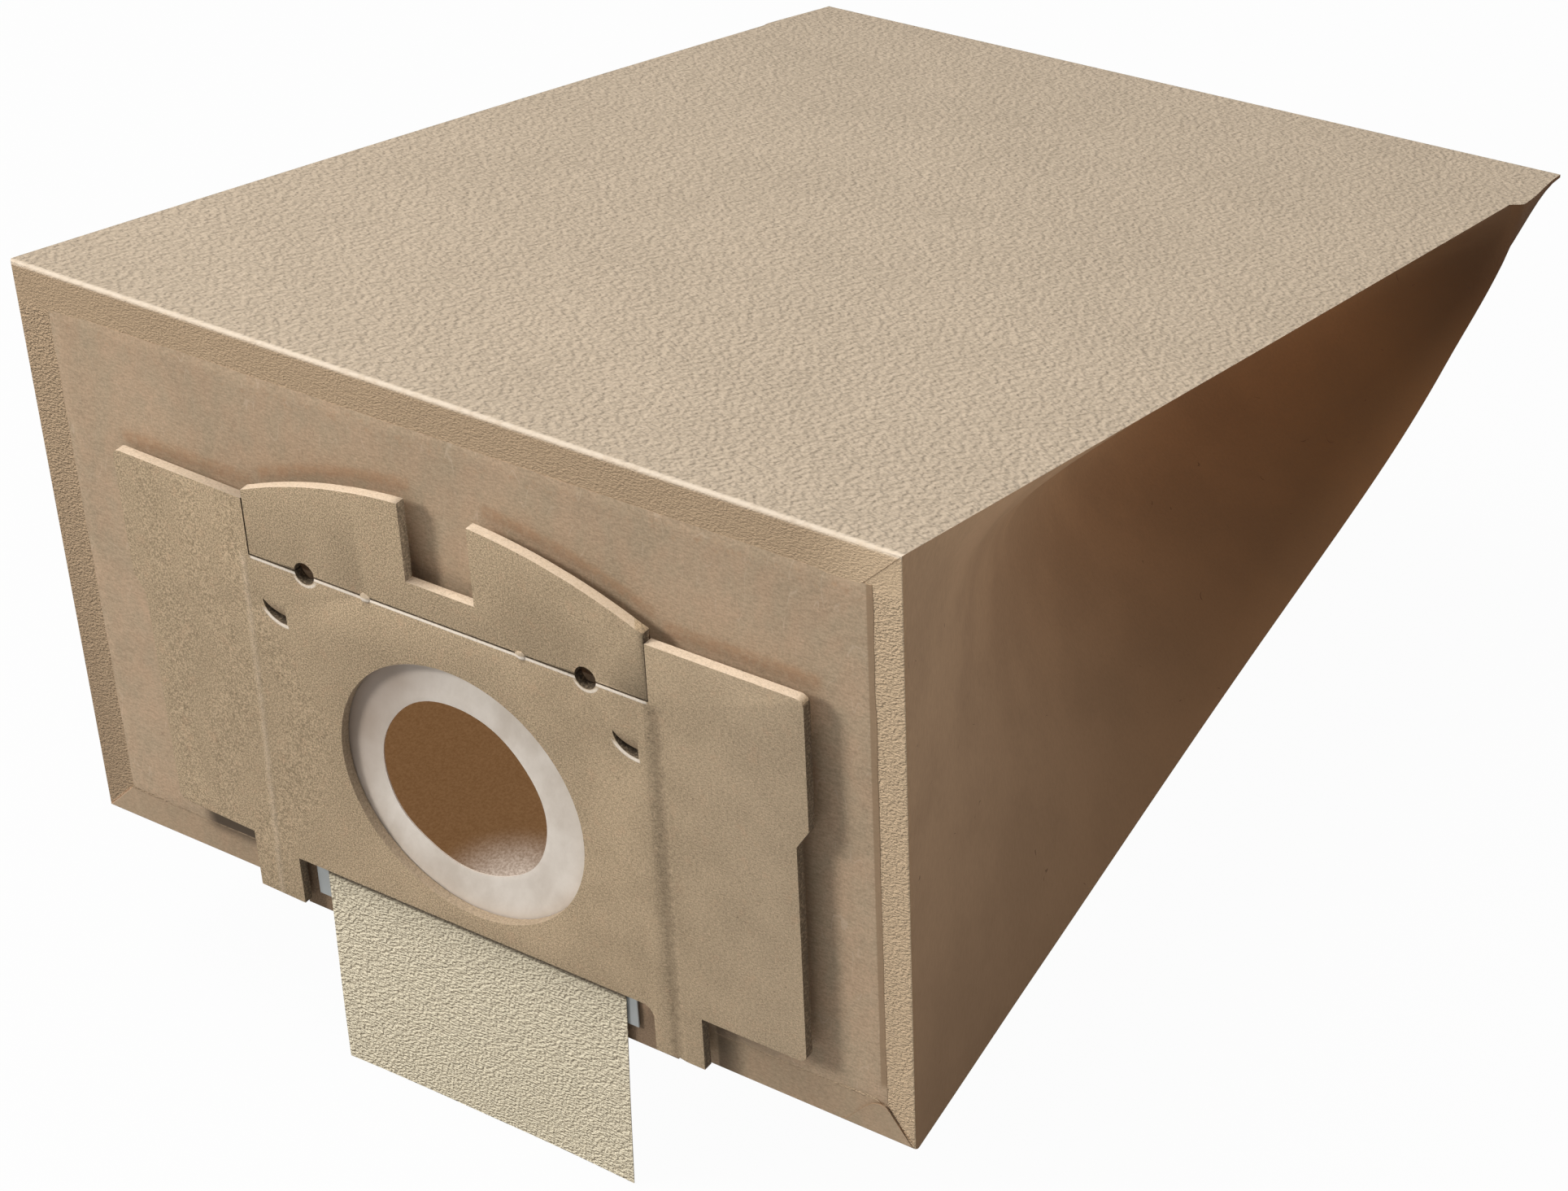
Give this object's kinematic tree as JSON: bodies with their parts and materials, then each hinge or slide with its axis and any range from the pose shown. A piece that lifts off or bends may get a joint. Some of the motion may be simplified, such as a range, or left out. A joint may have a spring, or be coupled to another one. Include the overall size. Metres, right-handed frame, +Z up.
{
  "type": "vacuum dust bag",
  "caption": "Block-bottom kraft paper dust bag with a die-cut cardboard collar, pale sealing membrane, round inlet and a hanging paper tongue",
  "frame": {"origin": "on the collar's front face, on its centre line, halfway between the inlet hole and the tear slit", "axes": "+X to the right as seen from the front, +Y into the bag towards its tail, +Z up"},
  "size_m": [0.19, 0.2707, 0.1605],
  "materials": {
    "kraft_paper": "matte, lightly embossed",
    "smooth_kraft": "smooth, with fine fibres",
    "grey_brown_board": "matte, speckled",
    "plain_board": "matte",
    "seal_film": "soft satin",
    "cream_paper": "matte, lightly embossed"
  },
  "bodies": {
    "root": {"paper_bag": "kraft_paper", "cover_patch": "smooth_kraft", "front_board": "grey_brown_board", "back_board": "plain_board", "seal_membrane": "seal_film", "paper_tongue": "cream_paper"}
  },
  "joints": []
}
